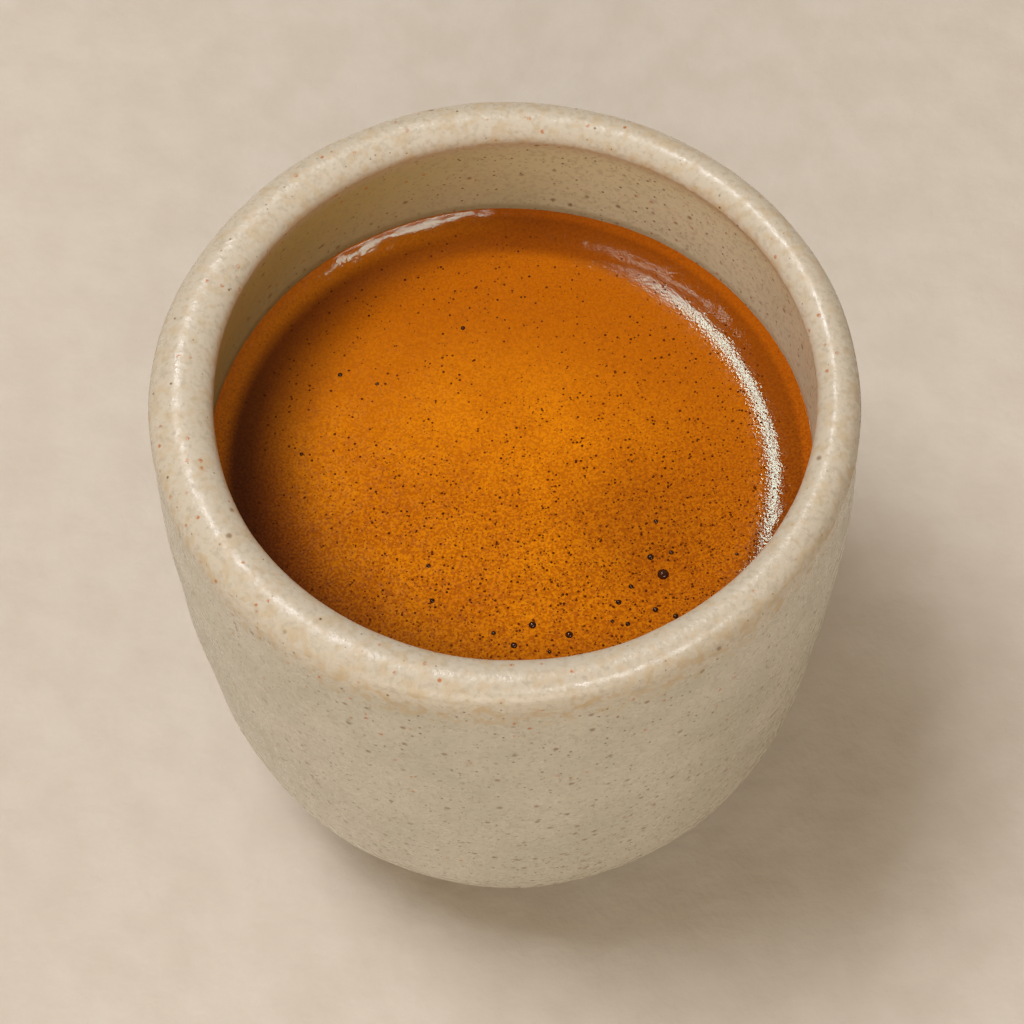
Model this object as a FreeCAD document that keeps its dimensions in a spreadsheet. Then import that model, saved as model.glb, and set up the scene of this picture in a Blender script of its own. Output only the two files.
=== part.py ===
"""Espresso shot: a handleless stoneware cup, thrown on the wheel, filled with espresso under its crema.

Two pieces, each a body turned about the Z axis, which stands in the middle of the foot:
    cup        the thick wall with its rounded lip, the floor and the foot ring, in one piece of stoneware
    espresso   the drink, which fills the hollow up to its level and climbs the wall in a meniscus

Millimetres, +Z up. The foot ring stands on Z = 0. Every driving size is a cell of the Sizes sheet.
"""
import FreeCAD, Part
import math
import os

import Sketcher
from FreeCAD import Vector

SIZES = {
    # outer form
    "cup_height": 58.0,        # foot ring to lip
    "mouth_diameter": 59.0,    # over the lip, outside
    "belly_bulge": 0.5,        # how far the widest ring stands out past the lip, on each side
    "belly_drop": 12.5,        # lip down to the widest ring
    "side_radius": 268.0,      # slow curve of the wall below the widest ring
    "heel_height": 20.0,       # where the wall turns in towards the foot
    "foot_diameter": 33.0,     # foot ring, outside
    # clay
    "wall_thickness": 3.6,     # at the widest ring and down the side
    "lip_bead": 1.3,           # how far the thick lip stands in over the inner wall
    "floor_thickness": 5.0,    # under the drink, before the foot is turned out
    "foot_ring_width": 4.0,    # ring that the cup stands on
    "foot_recess": 1.2,        # depth turned out inside that ring
    "lip_round": 2.0,          # rounding of the lip's two edges
    "foot_round": 0.6,         # rounding of the ring's two edges
    # drink
    "free_space": 14.8,        # lip down to the flat middle of the crema
    "meniscus_width": 4.2,     # distance from the wall at which the crema starts to climb
    "meniscus_radius": 5.8,    # hollow curve in which it climbs
}
HOLLOW_RADIUS = "Sizes.mouth_diameter / 2 + Sizes.belly_bulge - Sizes.wall_thickness"  # at its widest
HALF_WALL = 0.48                 # the most of a wall's thickness that a rounding may take

START, END, CENTRE = 1, 2, 3     # a sketch's numbers for the points of a line or an arc
HORIZONTAL_AXIS, VERTICAL_AXIS = -1, -2
ORIGIN = (HORIZONTAL_AXIS, START)
FULL_TURN = 360.0
NEAR = 1e-4                      # measures closer than this are the same


def add_sheet(doc):
    sheet = doc.addObject("Spreadsheet::Sheet", "Sizes")
    for row, (name, value) in enumerate(SIZES.items(), start=1):
        sheet.set(f"A{row}", name)
        sheet.set(f"B{row}", str(value))
        sheet.setAlias(f"B{row}", name)
    doc.recompute()


def add_body(doc, name):
    body = doc.addObject("PartDesign::Body", name)
    body.Label = name
    body.Placement = FreeCAD.Placement()
    return body


def add_sketch(body, name, plane):
    sketch = body.newObject("Sketcher::SketchObject", name)
    support = next(item for item in body.Origin.OriginFeatures if item.Role == plane)
    sketch.AttachmentSupport = [(support, "")]
    sketch.MapMode = "FlatFace"
    return sketch


def point(radius, height):
    """A point of a half profile, whose plane is XZ: the sketch's X is the radius, its Y the height."""
    return Vector(radius, height, 0)


def add_line(sketch, start, end):
    return sketch.addGeometry(Part.LineSegment(start, end), False)


def add_arc(sketch, start, end, tangent):
    """An arc that turns left from start to end. tangent is its direction at one end: an arc makes
    the same angle with its chord at both."""
    chord = end - start
    bulge = Vector(chord.y, -chord.x, 0) * (math.tan(tangent.getAngle(chord) / 2) / 2)
    return sketch.addGeometry(Part.Arc(start, start + chord / 2 + bulge, end), False)


def rule(sketch, kind, *places):
    sketch.addConstraint(Sketcher.Constraint(kind, *places))


def dimension(sketch, kind, places, expression):
    """A driving dimension, bound to an expression of the sheet's cells."""
    value = sketch.evalExpression(expression)
    index = sketch.addConstraint(Sketcher.Constraint(kind, *places, value))
    sketch.setExpression(f"Constraints[{index}]", expression)


def join(sketch, pieces, smooth=()):
    """Joins each piece's end to the next one's start, all round, in line where the piece is smooth."""
    for piece, following in zip(pieces, pieces[1:] + pieces[:1]):
        kind = "Tangent" if piece in smooth else "Coincident"
        rule(sketch, kind, piece, END, following, START)


def add_wall_outline(body, name, inset, mouth_radius, bottom=None, foot_radius=None):
    """Half profile of a thrown wall, the form that the outside of the cup and its hollow share.

    From the flat bottom the heel turns up into the slowly curved side, which is upright at the
    widest ring and leans in from there to the mouth. inset is how far this wall lies inside the
    outermost one. The outside stands on Z = 0 and its heel comes down on foot_radius. A hollow has
    its bottom at that height, and its heel runs smoothly into it.
    """
    sketch = add_sketch(body, name, "XZ_Plane")
    value = sketch.evalExpression
    belly_radius = f"Sizes.mouth_diameter / 2 + Sizes.belly_bulge - {inset}"
    belly_height = "Sizes.cup_height - Sizes.belly_drop"
    curve_radius = f"Sizes.side_radius - {inset}"

    belly = point(value(belly_radius), value(belly_height))
    mouth = point(value(mouth_radius), value("Sizes.cup_height"))
    lean = math.asin((belly.y - value("Sizes.heel_height")) / value(curve_radius))
    upright = Vector(0, 1, 0)
    up_the_side = Vector(math.sin(lean), math.cos(lean), 0)
    heel = point(belly.x - value(curve_radius) * (1 - math.cos(lean)), value("Sizes.heel_height"))
    if bottom is None:
        floor = 0
        flat = point(value(foot_radius), floor)
    else:
        floor = value(bottom)
        corner = heel - up_the_side * ((heel.y - floor) / up_the_side.y)
        flat = corner - Vector((heel - corner).Length, 0, 0)

    axis = add_line(sketch, point(0, mouth.y), point(0, floor))
    base = add_line(sketch, point(0, floor), flat)
    turn = add_arc(sketch, flat, heel, up_the_side)
    side = add_arc(sketch, heel, belly, up_the_side)
    shoulder = add_arc(sketch, belly, mouth, upright)
    top = add_line(sketch, mouth, point(0, mouth.y))

    join(sketch, [axis, base, turn, side, shoulder, top], smooth=[turn])
    rule(sketch, "PointOnObject", axis, START, VERTICAL_AXIS)
    rule(sketch, "PointOnObject", axis, END, VERTICAL_AXIS)
    rule(sketch, "Horizontal", base)
    rule(sketch, "Horizontal", top)
    rule(sketch, "Horizontal", side, CENTRE, side, END)
    rule(sketch, "Horizontal", shoulder, CENTRE, shoulder, START)
    if bottom is None:
        rule(sketch, "PointOnObject", base, END, HORIZONTAL_AXIS)
        dimension(sketch, "DistanceX", (*ORIGIN, base, END), foot_radius)
    else:
        rule(sketch, "Vertical", turn, CENTRE, turn, START)
        dimension(sketch, "DistanceY", (*ORIGIN, base, END), bottom)
    dimension(sketch, "DistanceX", (*ORIGIN, top, START), mouth_radius)
    dimension(sketch, "DistanceY", (*ORIGIN, top, START), "Sizes.cup_height")
    dimension(sketch, "DistanceX", (*ORIGIN, side, END), belly_radius)
    dimension(sketch, "DistanceY", (*ORIGIN, side, END), belly_height)
    dimension(sketch, "DistanceY", (*ORIGIN, side, START), "Sizes.heel_height")
    dimension(sketch, "Radius", (side,), curve_radius)
    return sketch


def add_hollow_outline(body, name):
    """The inside of the cup, which the drink fills: both pieces take it from here."""
    return add_wall_outline(
        body,
        name,
        inset="Sizes.wall_thickness",
        mouth_radius=f"{HOLLOW_RADIUS} - Sizes.lip_bead",
        bottom="Sizes.floor_thickness",
    )


def add_surface_outline(body, name):
    """Half profile of the air above the drink: flat in the middle, and hollowed upwards along the
    wall, which the curve runs past."""
    sketch = add_sketch(body, name, "XZ_Plane")
    value = sketch.evalExpression
    level = "Sizes.cup_height - Sizes.free_space"
    flat_radius = f"{HOLLOW_RADIUS} - Sizes.meniscus_width"

    edge = point(value(flat_radius), value(level))
    climb = value("Sizes.meniscus_radius")
    climbed = edge + point(climb, climb)
    height = value("Sizes.cup_height")

    axis = add_line(sketch, point(0, height), point(0, edge.y))
    surface = add_line(sketch, point(0, edge.y), edge)
    meniscus = add_arc(sketch, edge, climbed, Vector(1, 0, 0))
    outside = add_line(sketch, climbed, point(climbed.x, height))
    top = add_line(sketch, point(climbed.x, height), point(0, height))

    join(sketch, [axis, surface, meniscus, outside, top], smooth=[surface, meniscus])
    rule(sketch, "PointOnObject", axis, START, VERTICAL_AXIS)
    rule(sketch, "PointOnObject", axis, END, VERTICAL_AXIS)
    rule(sketch, "Horizontal", surface)
    rule(sketch, "Vertical", outside)
    rule(sketch, "Horizontal", top)
    dimension(sketch, "DistanceX", (*ORIGIN, surface, END), flat_radius)
    dimension(sketch, "DistanceY", (*ORIGIN, surface, END), level)
    dimension(sketch, "Radius", (meniscus,), "Sizes.meniscus_radius")
    dimension(sketch, "DistanceY", (*ORIGIN, top, START), "Sizes.cup_height")
    return sketch


def turn_profile(body, kind, name, sketch):
    """A Revolution or a Groove of the half profile, all the way round Z."""
    feature = body.newObject(f"PartDesign::{kind}", name)
    feature.Profile = sketch
    feature.ReferenceAxis = (sketch, ["V_Axis"])
    feature.Angle = FULL_TURN
    body.Document.recompute()
    return feature


def turn_out_foot(body):
    """The shallow recess under the cup, which leaves the foot ring standing."""
    sketch = add_sketch(body, "RecessOutline", "XY_Plane")
    radius = "Sizes.foot_diameter / 2 - Sizes.foot_ring_width"
    circle = Part.Circle(Vector(), Vector(0, 0, 1), sketch.evalExpression(radius))
    ring = sketch.addGeometry(circle, False)
    rule(sketch, "Coincident", ring, CENTRE, *ORIGIN)
    dimension(sketch, "Radius", (ring,), radius)
    recess = body.newObject("PartDesign::Pocket", "FootRecess")
    recess.Profile = sketch
    recess.Reversed = True       # upwards, into the clay
    recess.setExpression("Length", "Sizes.foot_recess")
    body.Document.recompute()
    return recess


def round_edges(body, name, height, radius):
    """Rounds every edge that lies level at this height."""
    base = body.Tip
    edges = [
        f"Edge{number}"
        for number, edge in enumerate(base.Shape.Edges, start=1)
        if edge.BoundBox.ZLength < NEAR and abs(edge.BoundBox.ZMin - height) < NEAR
    ]
    fillet = body.newObject("PartDesign::Fillet", name)
    fillet.Base = (base, edges)
    fillet.setExpression("Radius", radius)
    body.Document.recompute()
    return fillet


def make_cup(doc):
    cup = add_body(doc, "cup")
    outside = add_wall_outline(
        cup,
        "OutsideOutline",
        inset="0",
        mouth_radius="Sizes.mouth_diameter / 2",
        foot_radius="Sizes.foot_diameter / 2",
    )
    turn_profile(cup, "Revolution", "Form", outside)
    check_cut(cup, lambda: turn_profile(cup, "Groove", "Hollow", add_hollow_outline(cup, "HollowOutline")))
    check_cut(cup, lambda: turn_out_foot(cup))
    lip_thickness = "(Sizes.wall_thickness + Sizes.lip_bead - Sizes.belly_bulge)"
    lip_round = f"min(Sizes.lip_round; {lip_thickness} * {HALF_WALL})"
    foot_round = f"min(Sizes.foot_round; Sizes.foot_ring_width * {HALF_WALL})"
    check_cut(cup, lambda: round_edges(cup, "LipRounding", SIZES["cup_height"], lip_round))
    check_cut(cup, lambda: round_edges(cup, "FootRounding", 0.0, foot_round))
    return cup


def make_espresso(doc):
    espresso = add_body(doc, "espresso")
    turn_profile(espresso, "Revolution", "Filling", add_hollow_outline(espresso, "FillingOutline"))
    surface = add_surface_outline(espresso, "SurfaceOutline")
    check_cut(espresso, lambda: turn_profile(espresso, "Groove", "Surface", surface))
    return espresso


def check_cut(body, cut):
    """Makes a feature that takes material away, and stops if it took none."""
    before = body.Tip.Shape.Volume
    feature = cut()
    if feature.Shape.Volume > before - NEAR:
        raise RuntimeError(f"{feature.Name} cuts nothing")


def check_document(doc, bodies):
    for item in doc.Objects:
        if {"Invalid", "Error"} & set(item.State):
            raise RuntimeError(f"{item.Name} failed: {item.State}")
        if item.TypeId == "Sketcher::SketchObject" and not item.FullyConstrained:
            raise RuntimeError(f"{item.Name} has a size that nothing sets")
    for body in bodies:
        if body.Shape.isNull() or not body.Shape.isValid() or len(body.Shape.Solids) != 1:
            raise RuntimeError(f"{body.Label} is not one sound solid")


def main():
    doc = FreeCAD.newDocument("EspressoShot")
    add_sheet(doc)
    bodies = [make_cup(doc), make_espresso(doc)]
    doc.recompute()
    check_document(doc, bodies)
    os.makedirs("parts", exist_ok=True)
    for body in bodies:
        body.Shape.exportStep(f"parts/{body.Label}.step")
        box = body.Shape.optimalBoundingBox()
        size = f"{box.XLength:.2f} x {box.YLength:.2f} x {box.ZLength:.2f} mm"
        print(f"{body.Label}: {size}, {body.Shape.Volume:.0f} cubic mm")


main()
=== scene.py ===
"""Looks of an espresso shot: the crema and its bubbles, in a thrown and glazed stoneware cup.

Everything is in metres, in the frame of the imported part: +Z up, and the foot ring on Z = 0.
The classes say where their own sizes are in millimetres.
"""
import logging
import math
import random
from dataclasses import dataclass
from enum import Enum

import bpy
from mathutils import Matrix, Vector


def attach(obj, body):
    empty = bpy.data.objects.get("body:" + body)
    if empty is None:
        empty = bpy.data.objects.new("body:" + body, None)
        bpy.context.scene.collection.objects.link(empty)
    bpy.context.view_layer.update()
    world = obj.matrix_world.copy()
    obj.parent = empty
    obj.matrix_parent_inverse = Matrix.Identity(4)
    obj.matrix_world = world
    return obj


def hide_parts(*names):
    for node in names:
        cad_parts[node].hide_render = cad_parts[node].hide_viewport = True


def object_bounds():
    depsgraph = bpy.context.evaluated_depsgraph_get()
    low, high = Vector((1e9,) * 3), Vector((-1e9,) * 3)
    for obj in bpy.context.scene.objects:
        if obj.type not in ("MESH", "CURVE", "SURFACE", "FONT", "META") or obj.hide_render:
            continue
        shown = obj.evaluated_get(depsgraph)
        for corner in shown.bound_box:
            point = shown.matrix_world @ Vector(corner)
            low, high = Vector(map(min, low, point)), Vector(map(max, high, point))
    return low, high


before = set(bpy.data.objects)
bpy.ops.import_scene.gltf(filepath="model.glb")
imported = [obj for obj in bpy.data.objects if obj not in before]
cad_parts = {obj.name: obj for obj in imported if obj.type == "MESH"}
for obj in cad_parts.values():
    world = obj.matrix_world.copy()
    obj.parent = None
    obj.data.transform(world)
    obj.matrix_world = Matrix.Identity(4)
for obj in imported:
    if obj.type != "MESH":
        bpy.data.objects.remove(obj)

MM = 0.001
BODY = "root"
CAD_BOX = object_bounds()
MIX_SHARE, MIX_UNDER, MIX_OVER, MIX_RESULT = 0, 6, 7, 2

Colour = tuple[float, float, float]
Outline = list[tuple[float, float]]
Stretch = tuple[float, float]

log = logging.getLogger("espresso")


class Slot(Enum):
    """The record's material slots."""

    GLAZE = "stoneware_glaze"
    CREMA = "crema"


def screen_colour(red: int, green: int, blue: int) -> Colour:
    """Turns a colour as a screen shows it into the linear one that a shader takes.

    Args:
        red: red, 0 to 255.
        green: green, 0 to 255.
        blue: blue, 0 to 255.

    Returns:
        The linear colour.
    """
    def linear(part: int) -> float:
        """One channel, linear."""
        share = part / 255
        return share / 12.92 if share <= 0.04045 else ((share + 0.055) / 1.055) ** 2.4

    return linear(red), linear(green), linear(blue)


def smooth_step(value: float, low: float, high: float) -> float:
    """Rises smoothly from 0 at low to 1 at high.

    Args:
        value: where to read it.
        low: where it starts.
        high: where it ends.

    Returns:
        A share from 0 to 1.
    """
    share = min(1.0, max(0.0, (value - low) / (high - low)))
    return share * share * (3 - 2 * share)


@dataclass(frozen=True)
class Ring:
    """One ring of a thrown wall, in metres, with its middle a little off the axis."""

    radius: float
    height: float
    right: float = 0.0


@dataclass(frozen=True)
class Arc:
    """A round stretch of a half profile, in millimetres and radians."""

    radius_of_centre: float
    height_of_centre: float
    radius: float
    start: float
    end: float

    def points(self, steps: int) -> Outline:
        """Gives even steps along the arc, without its first point.

        Args:
            steps: how many points.

        Returns:
            Radius and height of each.
        """
        turns = [self.start + (self.end - self.start) * step / steps for step in range(1, steps + 1)]
        return [
            (
                self.radius_of_centre + self.radius * math.cos(turn),
                self.height_of_centre + self.radius * math.sin(turn),
            )
            for turn in turns
        ]


class Bench:
    """The modelling operators, used as by hand."""

    @staticmethod
    def clear() -> None:
        """Deselects everything, the part's own nodes included."""
        bpy.ops.object.select_all(action="DESELECT")

    @staticmethod
    def pick(*pieces: bpy.types.Object) -> None:
        """Selects some pieces and nothing else.

        Args:
            pieces: the pieces; the first becomes the active one.
        """
        Bench.clear()
        for piece in pieces:
            piece.select_set(True)
        bpy.context.view_layer.objects.active = pieces[0]

    @staticmethod
    def throw(name: str, rings: list[Ring], segments: int) -> bpy.types.Object:
        """Raises a wall ring by ring from a disc, and closes it at its last ring.

        Args:
            name: the piece's name.
            rings: the rings, in order.
            segments: how many faces go round.

        Returns:
            The piece, with its object at the origin.
        """
        Bench.clear()
        start = rings[0]
        bpy.ops.mesh.primitive_circle_add(
            vertices=segments,
            radius=start.radius,
            fill_type="NGON",
            location=(start.right, 0, start.height),
        )
        piece = bpy.context.object
        piece.name = name
        bpy.ops.object.mode_set(mode="EDIT")
        bpy.ops.mesh.select_all(action="SELECT")
        for below, ring in zip(rings, rings[1:]):
            move = (ring.right - below.right, 0, ring.height - below.height)
            grow = ring.radius / below.radius
            middle = (ring.right, 0, ring.height)
            bpy.ops.mesh.extrude_edges_move(TRANSFORM_OT_translate={"value": move})
            bpy.ops.transform.resize(value=(grow, grow, 1), center_override=middle)
        bpy.ops.mesh.edge_face_add()
        bpy.ops.mesh.select_all(action="SELECT")
        bpy.ops.mesh.normals_make_consistent(inside=False)
        bpy.ops.object.mode_set(mode="OBJECT")
        bpy.ops.object.transform_apply(location=True, rotation=True, scale=True)
        bpy.ops.object.shade_smooth()
        return piece

    @staticmethod
    def waver(
        piece: bpy.types.Object, name: str, size: float, depth: float, direction: str, where: str = ""
    ) -> None:
        """Makes a piece slightly uneven, as hands or a liquid's skin leave it.

        Args:
            piece: the piece.
            name: the texture's name.
            size: how far apart the hollows are, in metres.
            depth: the whole range of the movement, in metres.
            direction: the axis of movement, or NORMAL.
            where: the vertex group that it is kept to, if any.
        """
        Bench.pick(piece)
        pattern = bpy.data.textures.new(name, "CLOUDS")
        pattern.noise_scale = size
        pattern.noise_depth = 1
        step = piece.modifiers.new(name, "DISPLACE")
        step.texture = pattern
        step.texture_coords = "LOCAL"
        step.direction = direction
        step.mid_level = 0.5
        step.strength = depth
        step.vertex_group = where
        bpy.ops.object.modifier_apply(modifier=step.name)

    @staticmethod
    def join(name: str, pieces: list[bpy.types.Object]) -> bpy.types.Object:
        """Joins copies into one piece with its object at the origin.

        Args:
            name: the joined piece's name.
            pieces: the copies.

        Returns:
            The joined piece.
        """
        Bench.pick(*pieces)
        bpy.ops.object.join()
        joined = bpy.context.object
        bpy.ops.object.transform_apply(location=True, rotation=True, scale=True)
        joined.name = name
        joined.data.name = name
        return joined


class Recipe:
    """A finish's node tree, built step by step around one Principled shader."""

    def __init__(self, name: str) -> None:
        """Starts an empty finish.

        Args:
            name: the finish's name.
        """
        self.material = bpy.data.materials.new(name)
        self.material.use_nodes = True
        self.tree = self.material.node_tree
        self.tree.nodes.clear()
        self.shader = self.node("ShaderNodeBsdfPrincipled")
        output = self.node("ShaderNodeOutputMaterial")
        self.tree.links.new(self.shader.outputs["BSDF"], output.inputs["Surface"])
        self.place = self.node("ShaderNodeTexCoord").outputs["Object"]

    def node(self, kind: str, **settings: object) -> bpy.types.Node:
        """Adds a node.

        Args:
            kind: its type.
            settings: its own settings.

        Returns:
            The node.
        """
        added = self.tree.nodes.new(kind)
        for setting, value in settings.items():
            setattr(added, setting, value)
        return added

    def feed(self, node: bpy.types.Node, socket: int | str, source: object) -> None:
        """Links a socket to another, or sets it.

        Args:
            node: the node that is fed.
            socket: its input.
            source: an output socket, or a plain value.
        """
        if isinstance(source, bpy.types.NodeSocket):
            self.tree.links.new(source, node.inputs[socket])
        else:
            node.inputs[socket].default_value = source

    def finish(self, **sockets: object) -> bpy.types.Material:
        """Feeds the shader.

        Args:
            sockets: values or outputs for the shader's inputs, with _ for a space.

        Returns:
            The finished material.
        """
        for socket, source in sockets.items():
            self.feed(self.shader, socket.replace("_", " "), source)
        return self.material

    def noise(self, spacing: float, detail: float = 2.0) -> bpy.types.NodeSocket:
        """Soft noise.

        Args:
            spacing: how far apart its patches are, in millimetres.
            detail: how many finer layers it has.

        Returns:
            Its value, about 0.3 to 0.7.
        """
        noise = self.node("ShaderNodeTexNoise")
        self.feed(noise, "Vector", self.place)
        self.feed(noise, "Scale", 1 / (spacing * MM))
        self.feed(noise, "Detail", detail)
        return noise.outputs["Fac"]

    def cells(self, spacing: float) -> tuple[bpy.types.NodeSocket, bpy.types.NodeSocket]:
        """Scattered points.

        Args:
            spacing: how far apart they are, in millimetres.

        Returns:
            The distance to the nearest point, in spacings, and a random number of its own.
        """
        cells = self.node("ShaderNodeTexVoronoi")
        self.feed(cells, "Vector", self.place)
        self.feed(cells, "Scale", 1 / (spacing * MM))
        split = self.node("ShaderNodeSeparateColor")
        self.feed(split, 0, cells.outputs["Color"])
        return cells.outputs["Distance"], split.outputs[0]

    def spread(
        self, source: object, low: object, high: object, start: float = 0.0, end: float = 1.0
    ) -> bpy.types.NodeSocket:
        """Spreads a stretch of values smoothly over another, and clamps the rest.

        Args:
            source: the value.
            low: where the stretch starts.
            high: where it ends.
            start: what low becomes.
            end: what high becomes.

        Returns:
            The new value.
        """
        spread = self.node("ShaderNodeMapRange", interpolation_type="SMOOTHSTEP")
        for socket, value in enumerate((source, low, high, start, end)):
            self.feed(spread, socket, value)
        return spread.outputs[0]

    def work(self, operation: str, first: object, second: object = 0.0) -> bpy.types.NodeSocket:
        """Does one sum.

        Args:
            operation: which.
            first: its first value.
            second: its second value.

        Returns:
            The result.
        """
        sum_node = self.node("ShaderNodeMath", operation=operation)
        self.feed(sum_node, 0, first)
        self.feed(sum_node, 1, second)
        return sum_node.outputs[0]

    def both(self, first: object, second: object) -> bpy.types.NodeSocket:
        """Multiplies two shares, for where both hold."""
        return self.work("MULTIPLY", first, second)

    def step(
        self, source: object, low: float, high: float, start: float = 0.0, end: float = 1.0
    ) -> bpy.types.NodeSocket:
        """Does the same as spread, for a length that goes from low to high in millimetres.

        Args:
            source: the length, in metres.
            low: where the stretch starts, in millimetres.
            high: where it ends, in millimetres.
            start: what low becomes.
            end: what high becomes.

        Returns:
            The new value.
        """
        return self.spread(source, low * MM, high * MM, start, end)

    def blend(self, share: object, under: object, over: object, mode: str = "MIX") -> bpy.types.NodeSocket:
        """Lays one colour over another.

        Args:
            share: how much of it.
            under: the colour under it.
            over: the colour laid on.
            mode: how it is laid on.

        Returns:
            The result.
        """
        mix = self.node("ShaderNodeMix", data_type="RGBA", blend_type=mode)
        colours = [(*c, 1.0) if isinstance(c, tuple) else c for c in (under, over)]
        for socket, value in ((MIX_SHARE, share), (MIX_UNDER, colours[0]), (MIX_OVER, colours[1])):
            self.feed(mix, socket, value)
        return mix.outputs[MIX_RESULT]

    def relief(
        self, height: object, depth: float, under: bpy.types.NodeSocket | None = None
    ) -> bpy.types.NodeSocket:
        """Turns a value into relief.

        Args:
            height: the value.
            depth: how high 1 stands, in millimetres.
            under: relief that this lies on.

        Returns:
            The bent normal.
        """
        bump = self.node("ShaderNodeBump")
        self.feed(bump, "Strength", 1.0)
        self.feed(bump, "Distance", depth * MM)
        self.feed(bump, "Height", height)
        if under is not None:
            self.feed(bump, "Normal", under)
        return bump.outputs[0]

    def axes(self) -> tuple[bpy.types.NodeSocket, bpy.types.NodeSocket, bpy.types.NodeSocket]:
        """The place's three parts."""
        split = self.node("ShaderNodeSeparateXYZ")
        self.feed(split, 0, self.place)
        return split.outputs[0], split.outputs[1], split.outputs[2]

    def off_axis(self, right: float = 0.0, back: float = 0.0) -> bpy.types.NodeSocket:
        """Measures how far the place is from an upright line.

        Args:
            right: where the line stands, in metres.
            back: the same, the other way.

        Returns:
            The distance, in metres.
        """
        across, along, _ = self.axes()
        across = self.work("SUBTRACT", across, right)
        along = self.work("SUBTRACT", along, back)
        squares = self.work("ADD", self.both(across, across), self.both(along, along))
        return self.work("SQRT", squares)


@dataclass(frozen=True)
class Speckle:
    """One size of speck in the glaze, in millimetres, and how strongly it shows."""

    spacing: float
    radius: float
    strength: float = 1.0


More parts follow.
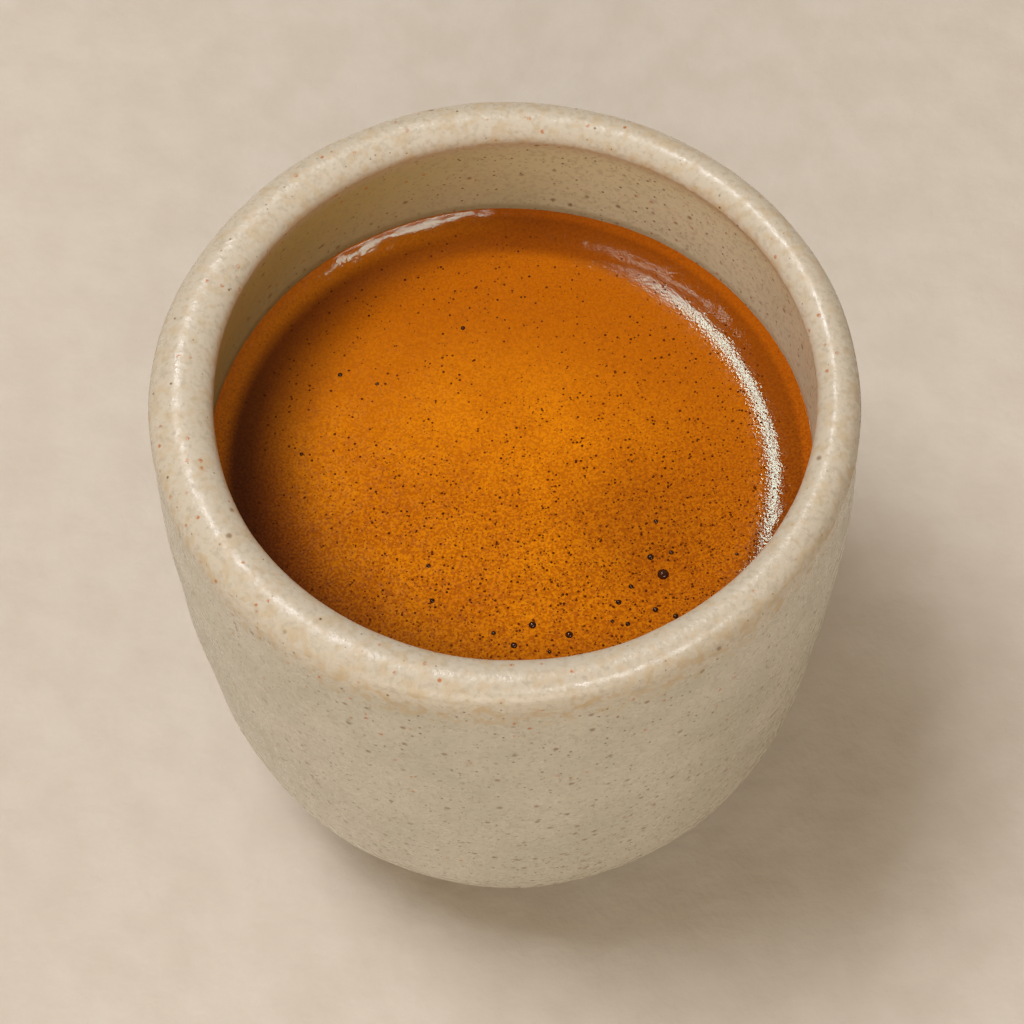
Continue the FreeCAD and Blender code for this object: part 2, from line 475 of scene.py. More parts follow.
@dataclass(frozen=True)
class StonewareGlaze:
    """Semi-gloss pale glaze, with iron specks from the clay, breaking to tan over the lip.

    Lengths are in millimetres.
    """

    cream: Colour = screen_colour(201, 191, 174)
    pale: Colour = screen_colour(200, 194, 179)
    grey: Colour = screen_colour(189, 185, 168)
    # painted shade and light: the pooled glaze inside is darker on the left, in the wall's shade, and
    # lighter on the right, where light falls
    shaded_pooled_left: Colour = screen_colour(162, 150, 70)
    lit_pooled_right: Colour = screen_colour(234, 244, 218)
    olive_line: Colour = screen_colour(120, 98, 46)
    thin: Colour = screen_colour(190, 164, 122)
    spot: Colour = screen_colour(118, 84, 46)
    rust: Colour = screen_colour(178, 100, 20)
    mottle_tone: Colour = screen_colour(150, 140, 118)
    roughness: float = 0.3
    rougher_inside: float = 0.3
    bend: float = 1.5
    hollow_edge: Stretch = (27.4, 25.8)
    hollow_foot: Stretch = (30.0, 40.0)
    left_to_right: Stretch = (-20.0, 22.0)
    cream_below_lip: Stretch = (4.5, 1.5)
    pooled_below_lip: Stretch = (0.8, 4.0)
    pooled_share: float = 0.8
    mottle_share: float = 0.34
    olive_line_below_lip: Stretch = (11.9, 12.7)
    olive_line_share: float = 0.6
    thin_below_lip: Stretch = (5.0, 3.0)
    thin_share: float = 0.85
    crown_below_lip: Stretch = (1.6, 0.4)
    crown_shares: Stretch = (0.75, 0.45)
    low_down: Stretch = (0.85, 0.25)
    few_below_lip: Stretch = (0.0, 5.0)
    rusty_below_lip: Stretch = (18.0, 0.0)
    large: Speckle = Speckle(1.5, 0.36, 0.7)
    small: Speckle = Speckle(0.75, 0.17, 0.95)
    fine: Speckle = Speckle(0.42, 0.11, 0.75)
    rusty: Speckle = Speckle(1.2, 0.26)

    def specks(self, recipe: Recipe, size: Speckle, share: object) -> bpy.types.NodeSocket:
        """Soft-edged specks of one size.

        Args:
            recipe: the finish that they are in.
            size: how large and how far apart they are.
            share: the share of them that shows.

        Returns:
            1 on a speck, and 0 off it.
        """
        distance, chance = recipe.cells(size.spacing)
        reach = size.radius / size.spacing
        shape = recipe.spread(distance, reach * 0.3, reach, 1.0, 0.0)
        return recipe.both(shape, recipe.work("LESS_THAN", chance, share))

    def under_lip(
        self, recipe: Recipe, height: object, top: float, below: Stretch, shares: Stretch = (0.0, 1.0)
    ) -> bpy.types.NodeSocket:
        """Changes a share over a stretch of the wall, measured down from the lip.

        Args:
            recipe: the finish that it is in.
            height: how high the place is.
            top: height of the lip, in millimetres.
            below: how far below the lip the stretch starts and ends.
            shares: the share at its start and its end.

        Returns:
            The share.
        """
        return recipe.step(height, top - below[0], top - below[1], *shares)

    def ground(self, recipe: Recipe, height: object, inside: object, top: float) -> bpy.types.NodeSocket:
        """The glaze before its specks: cream at the lip, pooled inside with painted shade on the left and
        painted light on the right, a darker olive line just above the drink, and tan where it runs thin.

        Args:
            recipe: the finish that it is in.
            height: how high the place is.
            inside: 1 on the hollow's wall, and 0 off it.
            top: height of the lip, in millimetres.

        Returns:
            Its colour.
        """
        colour = recipe.blend(recipe.spread(recipe.noise(9.0, 3.0), 0.35, 0.65), self.pale, self.grey)
        colour = recipe.blend(self.under_lip(recipe, height, top, self.cream_below_lip), colour, self.cream)
        pooling = recipe.both(inside, self.under_lip(recipe, height, top, self.pooled_below_lip))
        pooling = recipe.both(pooling, self.pooled_share)
        # painted shade and light: pooled glaze darker on the left, lighter on the right
        shade_to_light = recipe.step(recipe.axes()[0], *self.left_to_right)
        pooled_shade_to_light = recipe.blend(shade_to_light, self.shaded_pooled_left, self.lit_pooled_right)
        colour = recipe.blend(pooling, colour, pooled_shade_to_light)
        mottle = recipe.spread(recipe.noise(0.5, 4.0), 0.45, 0.72)
        colour = recipe.blend(recipe.both(mottle, self.mottle_share), colour, self.mottle_tone)

        # a darker olive line on the inside, just above the drink
        olive_line_inside = recipe.both(inside, self.under_lip(recipe, height, top, self.olive_line_below_lip))
        colour = recipe.blend(recipe.both(olive_line_inside, self.olive_line_share), colour, self.olive_line)

        crown = self.under_lip(recipe, height, top, self.crown_below_lip, self.crown_shares)
        near_lip = recipe.both(self.under_lip(recipe, height, top, self.thin_below_lip), crown)
        patches = recipe.spread(recipe.noise(1.1, 4.0), 0.46, 0.66, 0.0, self.thin_share)
        outside = recipe.spread(pooling, 0.0, 0.5, 1.0, 0.2)
        return recipe.blend(recipe.both(recipe.both(near_lip, patches), outside), colour, self.thin)

    def material(self, lip_height: float) -> bpy.types.Material:
        """Mixes the glaze.

        Args:
            lip_height: height of the lip, in metres.

        Returns:
            The material.
        """
        top = lip_height / MM
        recipe = Recipe(Slot.GLAZE.value)
        height = recipe.axes()[2]
        inside = recipe.both(
            recipe.step(recipe.off_axis(), *self.hollow_edge), recipe.step(height, *self.hollow_foot)
        )
        colour = self.ground(recipe, height, inside, top)

        low_down = recipe.step(height, top * self.low_down[0], top * self.low_down[1], 0.36, 1.0)
        few = self.under_lip(recipe, height, top, self.few_below_lip, (0.12, 1.0))
        share = recipe.both(low_down, few)
        dark = [(size, self.specks(recipe, size, share)) for size in (self.large, self.small, self.fine)]
        for size, specks in dark:
            colour = recipe.blend(recipe.both(specks, size.strength), colour, self.spot)
        more_rusty = self.under_lip(recipe, height, top, self.rusty_below_lip, (0.06, 0.4))
        rusty = self.specks(recipe, self.rusty, more_rusty)
        ragged = recipe.spread(recipe.noise(0.25, 2.0), 0.36, 0.54, 0.2, 0.9)
        colour = recipe.blend(recipe.both(rusty, ragged), colour, self.rust)

        skin = recipe.relief(recipe.noise(1.6, 2.0), 0.05)
        skin = recipe.relief(recipe.noise(0.35, 3.0), 0.03, skin)
        skin = recipe.relief(recipe.work("ADD", dark[0][1], dark[1][1]), -0.02, skin)
        gloss = recipe.spread(recipe.noise(1.1, 3.0), 0.3, 0.7, self.roughness - 0.07, self.roughness + 0.09)
        gloss = recipe.work("ADD", gloss, recipe.both(inside, self.rougher_inside))
        return recipe.finish(Base_Color=colour, Roughness=gloss, Normal=skin, IOR=self.bend)


@dataclass(frozen=True)
class BareClay:
    """Unglazed fired clay of the foot ring."""

    pale: Colour = screen_colour(186, 158, 122)
    dark: Colour = screen_colour(160, 128, 92)
    grog: Colour = screen_colour(96, 66, 42)

    def material(self) -> bpy.types.Material:
        """Mixes the clay."""
        recipe = Recipe("bare_clay")
        colour = recipe.blend(recipe.spread(recipe.noise(2.5, 4.0), 0.35, 0.65), self.pale, self.dark)
        distance, chance = recipe.cells(0.9)
        grains = recipe.both(recipe.spread(distance, 0.1, 0.2, 1.0, 0.0), chance)
        colour = recipe.blend(grains, colour, self.grog)
        skin = recipe.relief(recipe.noise(0.3, 4.0), 0.05)
        gloss = recipe.spread(recipe.noise(0.8), 0.3, 0.7, 0.82, 0.95)
        return recipe.finish(Base_Color=colour, Roughness=gloss, Normal=skin)


@dataclass(frozen=True)
class CremaSkin:
    """Wet hazel-orange foam of very fine bubbles, over a dark shot. Lengths are in millimetres.

    The grain colour and the tint of the painted glints multiply what they lie on.
    """

    bright: Colour = screen_colour(221, 130, 3)
    deep: Colour = screen_colour(205, 115, 2)
    # darker towards the right; towards the back it is painted shade from the back wall
    darker_right_and_back_shade: Colour = screen_colour(184, 98, 2)
    # painted shade: the deep brown of the left wall's shadow on the foam; also the colour of a real darker
    # patch at the right front
    wall_shade_and_patch_brown: Colour = screen_colour(106, 45, 3)
    # painted shade: the skin that climbs the wall on the right, darker brown where it lies in shade
    climb_shade_brown: Colour = screen_colour(134, 62, 2)
    # froth at the left wall, made lighter with painted light that the climbing skin catches there
    lit_froth: Colour = screen_colour(226, 134, 6)
    line: Colour = screen_colour(206, 106, 4)
    pit: Colour = screen_colour(90, 38, 3)
    grain: Colour = (0.72, 0.61, 0.6)
    # painted highlights: lifts the grain's light flecks, standing in for small glints off the foam's relief
    glint_tint: Colour = (1.12, 1.22, 1.5)
    wet_gloss: Colour = (0.6, 0.86, 0.74)
    roughness: float = 0.07
    bend: float = 1.39
    right_fade: Stretch = (2.0, 20.0)
    right_share: float = 0.75
    # painted shade: how the back wall's shadow on the foam fades in
    back_shade_fade: Stretch = (3.0, 18.0)
    back_shade_share: float = 0.95
    # painted shade: the middle of the lit part of the foam, and where the wall's shadow starts and ends
    wall_shade_middle: tuple[float, float] = (5.0, 4.5)
    wall_shade_fade: Stretch = (18.6, 29.6)
    left_to_right: Stretch = (-14.0, 4.0)
    band_past_flat: Stretch = (0.2, 1.6)
    band_share: float = 0.8
    lit_froth_off_wall: Stretch = (2.7, 1.2)
    lit_froth_share: float = 0.85
    line_off_wall: Stretch = (0.9, 0.3)
    line_share: float = 0.45
    dull_middle: tuple[float, float] = (11.0, -6.0)
    dull_fade: Stretch = (9.0, 2.0)
    dull_share: float = 0.18
    back_to_front: Stretch = (14.0, -12.0)
    curved_past_flat: Stretch = (-1.2, 1.0)
    curved_shares: Stretch = (0.12, 1.0)
    grain_spacing: float = 0.22
    grain_middle: float = 0.56
    grain_depth: float = 0.012
    pit_spacing: float = 0.42
    pit_share: float = 0.85
    swell_spacing: float = 0.7
    swell_depth: float = 0.005

    def ground(self, recipe: Recipe, radius: object, flat: float, wall: float) -> bpy.types.NodeSocket:
        """The foam before its grain: bright in the middle and darker to the right, with painted shade from
        the left and back walls and on the climbing skin at the right, froth at the left wall lightened with
        painted light, and a line at the wall.

        Args:
            recipe: the finish that it is in.
            radius: how far the place is from the middle.
            flat: where the skin starts to climb to the wall.
            wall: where it meets the wall.

        Returns:
            Its colour.
        """
        across, along, _ = recipe.axes()
        clouds = recipe.spread(recipe.noise(7.0, 3.0), 0.32, 0.68)
        colour = recipe.blend(clouds, self.bright, self.deep)
        to_right = recipe.step(across, *self.right_fade, 0.0, self.right_share)
        colour = recipe.blend(to_right, colour, self.darker_right_and_back_shade)
        # painted shade: darker towards the back, where the back wall shades the foam
        back_wall_shade = recipe.step(along, *self.back_shade_fade, 0.0, self.back_shade_share)
        colour = recipe.blend(back_wall_shade, colour, self.darker_right_and_back_shade)
        # painted shade: darker towards the left wall, where the wall casts its shadow on the foam
        painted_wall_shade = recipe.off_axis(*(part * MM for part in self.wall_shade_middle))
        colour = recipe.blend(recipe.step(painted_wall_shade, *self.wall_shade_fade), colour, self.wall_shade_and_patch_brown)

        on_right = recipe.step(across, *self.left_to_right)
        on_left = recipe.work("SUBTRACT", 1.0, on_right)
        # painted shade: the climbing skin on the right is darker brown
        start, end = (flat + past for past in self.band_past_flat)
        shaded_climb = recipe.step(radius, start, end, 0.0, self.band_share)
        colour = recipe.blend(recipe.both(shaded_climb, on_right), colour, self.climb_shade_brown)
        # froth at the left wall, lightened with painted light
        start, end = (wall - off for off in self.lit_froth_off_wall)
        lit_froth_at_wall = recipe.step(radius, start, end, 0.0, self.lit_froth_share)
        colour = recipe.blend(recipe.both(lit_froth_at_wall, on_left), colour, self.lit_froth)
        start, end = (wall - off for off in self.line_off_wall)
        colour = recipe.blend(recipe.step(radius, start, end, 0.0, self.line_share), colour, self.line)

        from_dull = recipe.off_axis(*(part * MM for part in self.dull_middle))
        dull = recipe.step(from_dull, *self.dull_fade, 0.0, self.dull_share)
        return recipe.blend(dull, colour, self.wall_shade_and_patch_brown)

    def material(self, flat: float, wall: float) -> bpy.types.Material:
        """Mixes the foam.

        Args:
            flat: where the skin starts to climb to the wall, in millimetres.
            wall: where it meets the wall, in millimetres.

        Returns:
            The material.
        """
        recipe = Recipe(Slot.CREMA.value)
        radius = recipe.off_axis()
        colour = self.ground(recipe, radius, flat, wall)

        near = recipe.step(recipe.axes()[1], *self.back_to_front, 0.4, 1.0)
        worms = recipe.noise(self.grain_spacing, 1.0)
        grain = recipe.both(recipe.spread(worms, self.grain_middle, 0.4), near)
        colour = recipe.blend(grain, colour, self.grain, "MULTIPLY")
        # painted highlights: light flecks in the grain, in place of glints off the foam's relief
        painted_glints = recipe.both(recipe.spread(worms, self.grain_middle, 0.7), near)
        colour = recipe.blend(painted_glints, colour, self.glint_tint, "MULTIPLY")
        distance, chance = recipe.cells(self.pit_spacing)
        hole = recipe.spread(distance, 0.14, 0.3, self.pit_share, 0.0)
        pits = recipe.both(hole, recipe.both(chance, near))
        colour = recipe.blend(pits, colour, self.pit)

        start, end = (flat + past for past in self.curved_past_flat)
        curved = recipe.step(radius, start, end, *self.curved_shares)
        swell = recipe.noise(self.swell_spacing, 1.0)
        skin = recipe.relief(recipe.both(swell, curved), self.swell_depth)
        skin = recipe.relief(recipe.both(worms, curved), self.grain_depth, skin)
        gloss = recipe.spread(chance, 0.0, 1.0, self.roughness - 0.02, self.roughness + 0.04)
        return recipe.finish(
            Base_Color=colour,
            Roughness=gloss,
            Normal=skin,
            IOR=self.bend,
            Specular_Tint=(*self.wet_gloss, 1.0),
        )


@dataclass(frozen=True)
class BubbleFilm:
    """The film over a burst-sized bubble: the dark shot shows through, and it is very glossy."""

    name: str = "bubble_film"
    dark: Colour = screen_colour(44, 15, 3)
    brown: Colour = screen_colour(70, 28, 4)
    roughness: float = 0.1
    bend: float = 1.33

    def material(self) -> bpy.types.Material:
        """Mixes the film."""
        recipe = Recipe(self.name)
        colour = recipe.blend(recipe.spread(recipe.noise(0.4, 2.0), 0.35, 0.65), self.dark, self.brown)
        gloss = recipe.spread(recipe.noise(0.3), 0.3, 0.7, self.roughness - 0.02, self.roughness + 0.05)
        skin = recipe.relief(recipe.noise(0.5), 0.01)
        return recipe.finish(Base_Color=colour, Roughness=gloss, Normal=skin, IOR=self.bend)


@dataclass(frozen=True)
class TableTop:
    """Matte pale plaster-like floor."""

    pale: Colour = screen_colour(210, 202, 192)
    warm: Colour = screen_colour(205, 196, 185)

    def material(self) -> bpy.types.Material:
        """Mixes the floor's finish."""
        recipe = Recipe("pale_floor")
        colour = recipe.blend(recipe.spread(recipe.noise(6.0, 3.0), 0.3, 0.7), self.pale, self.warm)
        skin = recipe.relief(recipe.noise(3.5, 4.0), 0.3)
        gloss = recipe.spread(recipe.noise(4.0), 0.3, 0.7, 0.8, 0.95)
        return recipe.finish(Base_Color=colour, Roughness=gloss, Normal=skin)


@dataclass
class Cup:
    """The thrown cup: its outside, soft lip, hollow and foot ring. All sizes in millimetres."""

    height: float = 58.0
    belly_radius: float = 30.0
    belly_height: float = 45.5
    side_radius: float = 268.0
    shoulder_radius: float = 156.5
    heel_height: float = 20.0
    heel_centre: tuple[float, float] = (2.234, 22.536)
    heel_radius: float = 26.67
    foot_radius: float = 16.5
    foot_width: float = 4.0
    foot_recess: float = 1.2
    foot_round: float = 0.6
    wall: float = 3.6
    crown_radius: float = 27.4
    crown_out: float = 2.1
    crown_in: float = 2.2
    crown_rise: float = 1.6
    hollow_heel_centre: tuple[float, float] = (8.643, 21.60)
    hollow_heel_radius: float = 16.60
    hollow_shoulder_radius: float = 60.75
    lip_inside_shift: float = 0.77
    drink_level: float = 45.0
    drink_shift: float = 0.26
    pole_radius: float = 0.4
    plain_foot: Stretch = (2.0, 8.0)
    finger_marks_from: Stretch = (26.0, 40.0)
    finger_marks_until: Stretch = (51.0, 56.0)
    glaze_edge: float = 1.1
    segments: int = 288

    def outside(self) -> Outline:
        """The half profile from the middle of the recessed base, over the foot, up to the lip."""
        ring_inside = self.foot_radius - self.foot_width
        lean = math.asin((self.belly_height - self.heel_height) / self.side_radius)
        shoulder_top = self.height - self.crown_rise
        reach = math.asin((shoulder_top - self.belly_height) / self.shoulder_radius)
        start = math.atan2(
            self.foot_round * 0.8 - self.heel_centre[1], self.foot_radius - self.heel_centre[0]
        )
        outline = [(radius, self.foot_recess) for radius in (self.pole_radius, 5.0, ring_inside - 1.0)]
        outline += [(ring_inside - 0.1, self.foot_recess), (ring_inside, self.foot_recess - 0.15)]
        outline += Arc(
            ring_inside + self.foot_round, self.foot_round, self.foot_round, math.pi, 1.5 * math.pi
        ).points(5)
        outline += [(self.foot_radius - 1.6, 0.0), (self.foot_radius - 0.75, 0.0)]
        outline += [(self.foot_radius - 0.3, 0.08)]
        outline += Arc(*self.heel_centre, self.heel_radius, start, -lean).points(36)
        outline += Arc(
            self.belly_radius - self.side_radius, self.belly_height, self.side_radius, -lean, 0
        ).points(30)
        outline += Arc(
            self.belly_radius - self.shoulder_radius, self.belly_height, self.shoulder_radius, 0, reach
        ).points(12)
        return outline

    def lip(self) -> Outline:
        """The soft crown of the lip, from outside to inside."""
        steps = 22
        base = self.height - self.crown_rise
        outline = []
        for step in range(1, steps + 1):
            turn = math.pi * step / steps
            across = math.cos(turn)
            width = self.crown_out if across > 0 else self.crown_in
            outline.append((self.crown_radius + width * across, base + self.crown_rise * math.sin(turn)))
        return outline

    def hollow(self) -> Outline:
        """The inside of the wall, from the lip down to the middle of its floor."""
        hollow_belly = self.belly_radius - self.wall
        side = self.side_radius - self.wall
        shoulder_top = self.height - self.crown_rise
        reach = math.asin((shoulder_top - self.belly_height) / self.hollow_shoulder_radius)
        lean = math.asin((self.belly_height - self.heel_height) / side)
        outline = Arc(
            hollow_belly - self.hollow_shoulder_radius,
            self.belly_height,
            self.hollow_shoulder_radius,
            reach,
            0,
        ).points(16)
        outline += Arc(hollow_belly - side, self.belly_height, side, 0, -lean).points(8)
        outline += Arc(
            *self.hollow_heel_centre, self.hollow_heel_radius, -0.05, -math.pi / 2
        ).points(12)
        floor = self.hollow_heel_centre[1] - self.hollow_heel_radius
        outline += [(4.0, floor), (self.pole_radius, floor)]
        return outline

    def hollow_shift(self, height: float) -> float:
        """How far the hollow's ring at a height stands off the axis, to the right.

        Args:
            height: in millimetres.

        Returns:
            The shift, in millimetres.
        """
        top = self.height - self.crown_rise
        above = smooth_step(height, self.drink_level, top)
        below = smooth_step(height, self.heel_height, self.drink_level)
        return self.drink_shift * below + (self.lip_inside_shift - self.drink_shift) * above

    def throwing_ring(self, height: float) -> float:
        """The faint rings that fingers leave on the outside.

        Args:
            height: in millimetres.

        Returns:
            How far the wall stands out there, in millimetres.
        """
        fade = smooth_step(height, *self.finger_marks_from)
        fade *= 1 - smooth_step(height, *self.finger_marks_until)
        return fade * (0.02 * math.sin(height / 0.95) + 0.07 * math.sin(height / 2.3 + 1.0))

    def rings(self) -> list[Ring]:
        """Every ring of the cup, in metres."""
        rings = [
            Ring((radius + self.throwing_ring(height)) * MM, height * MM)
            for radius, height in self.outside()
        ]
        lip = self.lip()
        for step, (radius, height) in enumerate(lip):
            inward = smooth_step(step / len(lip), 0.0, 1.0)
            rings.append(Ring(radius * MM, height * MM, self.lip_inside_shift * inward * MM))
        rings += [
            Ring(radius * MM, height * MM, self.hollow_shift(height) * MM)
            for radius, height in self.hollow()
        ]
        return rings

    def build(self) -> bpy.types.Object:
        """Throws the cup and glazes it down to the foot ring, which stays bare."""
        piece = Bench.throw("thrown_cup", self.rings(), self.segments)
        above_foot = piece.vertex_groups.new(name="above_foot")
        for corner in piece.data.vertices:
            weight = smooth_step(corner.co.z / MM, *self.plain_foot)
            if weight > 0:
                above_foot.add([corner.index], weight, "REPLACE")
        group = above_foot.name
        Bench.waver(piece, "thrown_form", size=22 * MM, depth=0.5 * MM, direction="NORMAL", where=group)
        Bench.waver(piece, "glaze_run", size=5 * MM, depth=0.08 * MM, direction="NORMAL", where=group)
        piece.data.materials.append(StonewareGlaze().material(CAD_BOX[1].z))
        piece.data.materials.append(BareClay().material())
        for face in piece.data.polygons:
            if face.center.z < self.glaze_edge * MM:
                face.material_index = 1
        return piece


@dataclass
class Espresso:
    """The shot under its crema, which fills the hollow and climbs the wall. In millimetres."""

    level: float = 43.2
    climb: float = 1.8
    climb_length: float = 2.4
    wall_radius: float = 26.4
    bite: float = 0.14
    buried_below: float = 0.6
    bowl: Stretch = (12.0, 5.0)
    foamy_off_wall: Stretch = (3.4, 1.2)
    ring_steps: tuple[tuple[float, float], ...] = ((0.12, 21.6), (0.3, 18.0), (0.6, 2.0), (0.4, 0.3))
    shift: float = 0.26
    segments: int = 384

    def surface_height(self, radius: float) -> float:
        """Height of the skin at a distance from its middle.

        Args:
            radius: in millimetres.

        Returns:
            The height, in millimetres.
        """
        return self.level + self.climb * math.exp(-max(0.0, self.wall_radius - radius) / self.climb_length)

    def rings(self, cup: Cup) -> list[Ring]:
        """Rings up the hollow's wall, and then inwards over the skin to its middle.

        Args:
            cup: the cup that holds it.

        Returns:
            The rings, in metres.
        """
        top = self.level + self.climb
        buried = [
            (radius + self.bite, height - self.bite * smooth_step(height, *self.bowl))
            for radius, height in reversed(cup.hollow())
            if height < top - self.buried_below
        ]
        rings = [
            Ring(radius * MM, height * MM, cup.hollow_shift(height) * MM) for radius, height in buried
        ]
        radii = [self.wall_radius + self.bite]
        for step, until in self.ring_steps:
            while radii[-1] - step > until:
                radii.append(radii[-1] - step)
        rings += [Ring(r * MM, self.surface_height(r) * MM, self.shift * MM) for r in radii]
        return rings

    def build(self, cup: Cup) -> bpy.types.Object:
        """Pours the shot.

        Args:
            cup: the cup that holds it.

        Returns:
            The piece.
        """
        piece = Bench.throw("poured_espresso", self.rings(cup), self.segments)
        Bench.waver(piece, "slow_swell", size=9 * MM, depth=0.05 * MM, direction="Z")
        at_wall = piece.vertex_groups.new(name="at_wall")
        start, end = (self.wall_radius - off for off in self.foamy_off_wall)
        for corner in piece.data.vertices:
            radius = math.hypot(corner.co.x / MM - self.shift, corner.co.y / MM)
            weight = smooth_step(radius, start, end)
            if weight > 0 and corner.co.z > self.level * MM:
                at_wall.add([corner.index], weight, "REPLACE")
        group = at_wall.name
        Bench.waver(piece, "foam_at_wall", size=1.1 * MM, depth=0.1 * MM, direction="Z", where=group)
        flat = self.wall_radius - 2 * self.climb_length
        piece.data.materials.append(CremaSkin().material(flat, self.wall_radius))
        return piece


@dataclass
class Bubbles:
    """Bubbles that stand in the crema: a few large ones and a scatter of pinholes. In millimetres."""

    espresso: Espresso
    seed: int = 7
    pinholes: int = 3300
    reach: float = 24.5
    thinnest: float = 0.25
    thicker: Stretch = (-18.0, 16.0)
    smallest: float = 0.05
    size_range: float = 0.08
    places: tuple[tuple[float, float, float], ...] = (
        (13.2, -10.8, 0.50),
        (5.0, -16.4, 0.33),
        (1.9, -15.4, 0.33),
        (0.3, -17.3, 0.29),
        (12.2, -9.1, 0.29),
        (-1.4, -16.1, 0.21),
        (14.0, -8.7, 0.21),
        (12.8, -5.6, 0.21),
        (10.4, -11.9, 0.21),
        (9.3, -13.4, 0.25),
        (12.4, -14.2, 0.25),
        (14.1, -14.9, 0.25),
        (8.7, -15.2, 0.17),
        (10.0, -15.5, 0.21),
        (19.6, -9.1, 0.17),
        (-6.9, -9.5, 0.21),
        (-6.6, -12.9, 0.21),
        (3.3, -18.0, 0.17),
        (-14.7, 9.9, 0.21),
        (-11.4, 8.9, 0.17),
        (-18.0, 1.8, 0.17),
        (-3.7, 14.6, 0.21),
    )

    def dome(self, name: str, segments: int, rings: int, height: float) -> bpy.types.Object:
        """Makes one closed bubble of radius 1, a squashed ball.

        Args:
            name: the bubble's name.
            segments: how many faces go round.
            rings: how many go from top to bottom.
            height: how high it stands for its radius.

        Returns:
            The bubble, at the origin.
        """
        Bench.clear()
        bpy.ops.mesh.primitive_uv_sphere_add(segments=segments, ring_count=rings, radius=1.0)
        bubble = bpy.context.object
        bubble.name = name
        bpy.ops.object.mode_set(mode="EDIT")
        bpy.ops.mesh.select_all(action="SELECT")
        bpy.ops.transform.resize(value=(1, 1, height), center_override=(0, 0, 0))
        bpy.ops.object.mode_set(mode="OBJECT")
        bpy.ops.object.shade_smooth()
        return bubble

    def set_out(
        self, name: str, model: bpy.types.Object, places: list[tuple[float, float, float]]
    ) -> bpy.types.Object:
        """Copies a bubble to each place, and joins the copies.

        Args:
            name: the joined piece's name.
            model: the bubble of radius 1.
            places: right, back and radius of each, in millimetres.

        Returns:
            The joined piece.
        """
        copies = []
        for right, back, radius in places:
            copy = model.copy()
            copy.data = model.data.copy()
            off = math.hypot(right - self.espresso.shift, back)
            height = self.espresso.surface_height(off)
            place = Matrix.Translation(Vector((right, back, height)) * MM)
            copy.matrix_world = place @ Matrix.Scale(radius * MM, 4)
            bpy.context.collection.objects.link(copy)
            copies.append(copy)
        bpy.data.objects.remove(model)
        return Bench.join(name, copies)

    def pinhole_places(self) -> list[tuple[float, float, float]]:
        """Scatters the pinholes, thicker to the front and the right."""
        chance = random.Random(self.seed)
        places = []
        while len(places) < self.pinholes:
            right = chance.uniform(-self.reach, self.reach)
            back = chance.uniform(-self.reach, self.reach)
            if math.hypot(right, back) > self.reach:
                continue
            forward = smooth_step(right * 0.5 - back, *self.thicker)
            thick = self.thinnest + (1 - self.thinnest) * forward
            if chance.random() > thick:
                continue
            places.append((right, back, self.smallest + self.size_range * chance.random() ** 2))
        return places

    def build(self) -> list[bpy.types.Object]:
        """Sets out both kinds."""
        film = BubbleFilm().material()
        shallow = BubbleFilm(
            name="pinhole_film",
            dark=screen_colour(84, 34, 2),
            brown=screen_colour(116, 52, 2),
            roughness=0.45,
            bend=1.12,
        ).material()
        bubble = self.dome("bubble", segments=24, rings=12, height=0.55)
        large = self.set_out("large_bubbles", bubble, list(self.places))
        pinhole = self.dome("pinhole", segments=8, rings=4, height=0.4)
        small = self.set_out("pinholes", pinhole, self.pinhole_places())
        for piece, finish in ((large, film), (small, shallow)):
            piece.data.materials.clear()
            piece.data.materials.append(finish)
        return [large, small]


@dataclass
class Table:
    """The plain pale floor."""

    radius: float = 2.5
    border: float = 1.0

    def build(self) -> bpy.types.Object:
        """Lays the floor just under the foot ring."""
        Bench.clear()
        bpy.ops.mesh.primitive_circle_add(
            vertices=96, radius=self.radius, fill_type="NGON", location=(0, 0, CAD_BOX[0].z)
        )
        floor = bpy.context.object
        floor.name = "floor"
        bpy.ops.object.mode_set(mode="EDIT")
        bpy.ops.mesh.select_all(action="SELECT")
        bpy.ops.mesh.inset(thickness=self.border)
        bpy.ops.object.mode_set(mode="OBJECT")
        bpy.ops.object.transform_apply(location=True, rotation=True, scale=True)
        floor.data.materials.append(TableTop().material())
        return floor


@dataclass
class SoftLight:
    """One soft rectangular light, placed by its bearing and height as seen from the cup."""

    name: str
    azimuth: float
    elevation: float
    distance: float
    width: float
    height: float
    radiance: float
    shines: bool = True
    lights: bool = True
    colour: Colour = (1.0, 1.0, 1.0)

    def build(self, aim: Vector) -> bpy.types.Object:
        """Hangs the light.

        Args:
            aim: what it faces.

        Returns:
            The light.
        """
        lamp = bpy.data.lights.new(self.name, "AREA")
        lamp.shape = "RECTANGLE"
        lamp.size = self.width
        lamp.size_y = self.height
        lamp.energy = self.radiance * self.width * self.height * math.pi
        lamp.color = self.colour
        light = bpy.data.objects.new(self.name, lamp)
        bearing = math.radians(self.azimuth)
        rise = math.radians(self.elevation)
        away = Vector(
            (math.cos(bearing) * math.cos(rise), math.sin(bearing) * math.cos(rise), math.sin(rise))
        )
        light.location = aim + away * self.distance
        light.rotation_euler = away.to_track_quat("Z", "Y").to_euler()
        light.visible_glossy = self.shines
        light.visible_diffuse = self.lights
        bpy.context.collection.objects.link(light)
        return light


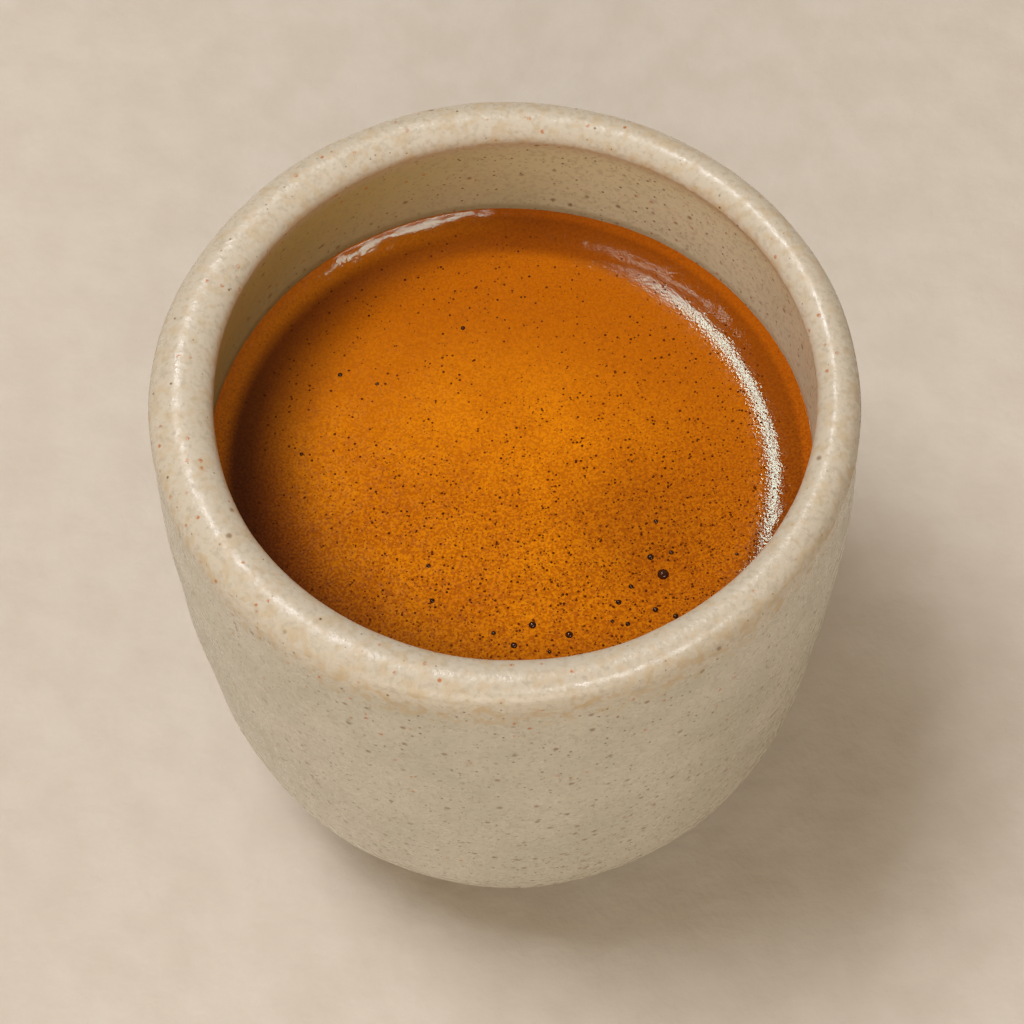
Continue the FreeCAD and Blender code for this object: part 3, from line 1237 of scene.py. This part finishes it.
@dataclass
class Studio:
    """Lights, surroundings and camera."""

    surroundings: Colour = (1.0, 0.74, 0.46)
    surroundings_strength: float = 0.28
    lens: float = 100.0
    elevation: float = 58.4
    distance: float = 0.2362
    aim_below: float = 0.01102
    aim_right: float = 0.000354
    roll: float = -0.98
    lights: tuple[SoftLight, ...] = (
        SoftLight(
            "window", azimuth=112.0, elevation=62.0, distance=1.2,
            width=0.1, height=0.5, radiance=31.0, lights=False,
        ),
        SoftLight(
            "window_edge", azimuth=150.0, elevation=72.0, distance=1.2,
            width=0.08, height=0.3, radiance=8.0, lights=False,
        ),
        SoftLight(
            "window_glow", azimuth=118.0, elevation=62.0, distance=1.2,
            width=0.4, height=0.5, radiance=1.0, shines=False,
        ),
        SoftLight(
            "key", azimuth=168.0, elevation=70.0, distance=1.0,
            width=0.38, height=0.38, radiance=15.6, shines=False,
        ),
        SoftLight(
            "side_fill", azimuth=5.0, elevation=40.0, distance=1.0,
            width=0.5, height=0.5, radiance=0.6, shines=False,
        ),
        SoftLight(
            "front_window", azimuth=-50.0, elevation=60.0, distance=1.2,
            width=0.66, height=0.16, radiance=16.0, lights=False,
        ),
        SoftLight(
            "front_fill", azimuth=-95.0, elevation=22.0, distance=0.7,
            width=0.6, height=0.36, radiance=2.7, colour=(1.0, 0.9, 0.76),
        ),
    )

    def light(self) -> None:
        """Hangs the lights and sets the surroundings."""
        rim = Vector((0, 0, CAD_BOX[1].z))
        for light in self.lights:
            light.build(rim)
        world = bpy.data.worlds.new("surroundings")
        world.use_nodes = True
        background = world.node_tree.nodes["Background"]
        background.inputs["Color"].default_value = (*self.surroundings, 1.0)
        background.inputs["Strength"].default_value = self.surroundings_strength
        bpy.context.scene.world = world
        bpy.context.scene.view_settings.view_transform = "Standard"

    def camera(self) -> bpy.types.Object:
        """Sets the camera up on the front, looking down at the drink."""
        rise = math.radians(self.elevation)
        rim = Vector((0, 0, CAD_BOX[1].z))
        back = Vector((0, -math.cos(rise), math.sin(rise)))
        up = Vector((0, math.sin(rise), math.cos(rise)))
        place = rim + back * self.distance
        aim = rim - up * self.aim_below + Vector((self.aim_right, 0, 0))
        lens = bpy.data.cameras.new("camera")
        lens.lens = self.lens
        lens.clip_start = 0.01
        camera = bpy.data.objects.new("camera", lens)
        turn = (place - aim).to_track_quat("Z", "Y").to_matrix().to_4x4()
        lean = Matrix.Rotation(math.radians(self.roll), 4, "Z")
        camera.matrix_world = Matrix.Translation(place) @ turn @ lean
        bpy.context.collection.objects.link(camera)
        bpy.context.scene.camera = camera
        return camera


def report(piece: bpy.types.Object) -> None:
    """Says what a piece came to.

    Args:
        piece: the piece.
    """
    sizes = [part / MM for part in piece.dimensions]
    log.info("%s: %d faces, %.1f x %.1f x %.1f mm", piece.name, len(piece.data.polygons), *sizes)


def main() -> None:
    """Builds the stage and the piece classes in order, and logs each piece's faces and size."""
    logging.basicConfig(level=logging.INFO, format="%(name)s: %(message)s")
    studio = Studio()
    studio.camera()
    studio.light()
    Table().build()

    cup = Cup()
    cup_piece = cup.build()
    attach(cup_piece, BODY)
    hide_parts("cup")
    report(cup_piece)

    espresso = Espresso()
    drink = espresso.build(cup)
    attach(drink, BODY)
    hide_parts("espresso")
    report(drink)

    for piece in Bubbles(espresso).build():
        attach(piece, BODY)
        report(piece)


if __name__ == "__main__":
    main()
